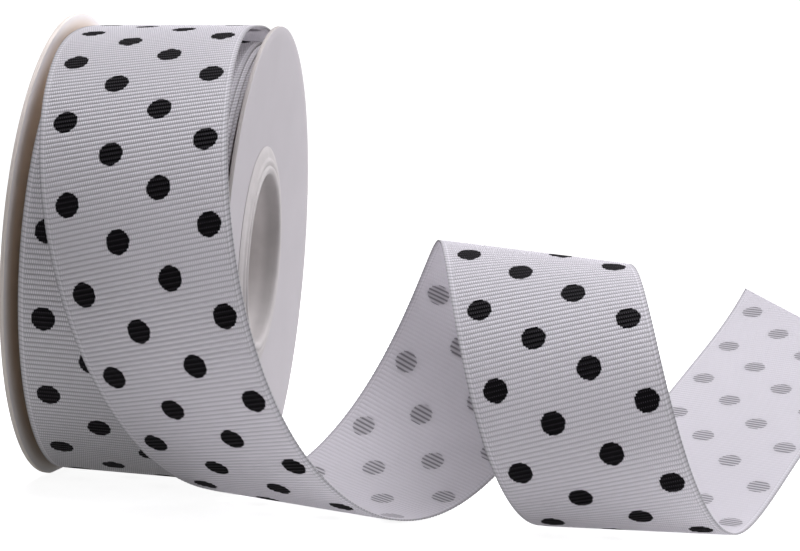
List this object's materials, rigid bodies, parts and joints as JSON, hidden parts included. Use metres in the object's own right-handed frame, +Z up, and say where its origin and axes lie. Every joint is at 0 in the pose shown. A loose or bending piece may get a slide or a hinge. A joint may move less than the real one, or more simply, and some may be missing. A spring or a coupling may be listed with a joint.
{
  "type": "spool of grosgrain ribbon",
  "caption": "Flanged board spool wound with dotted grosgrain ribbon, its loose end lifting off the roll and curling out over the surface.",
  "frame": {"origin": "on the surface that the part stands on, under the middle of its bounding box", "axes": "+X along the core, from the spool towards the curled end; -Y towards the side where the loose end comes off the roll; +Z up"},
  "size_m": [0.1817, 0.1573, 0.1012],
  "materials": {
    "coated_board": "matt coated paperboard with a cream cut edge",
    "core_paper": "rolled paper, matt",
    "grosgrain_ribbon": "ribbed white grosgrain printed with black dots"
  },
  "bodies": {
    "root": {"flange_left": "coated_board", "flange_right": "coated_board", "core": "core_paper", "wound_roll": "grosgrain_ribbon", "loose_end": "grosgrain_ribbon"}
  },
  "joints": []
}
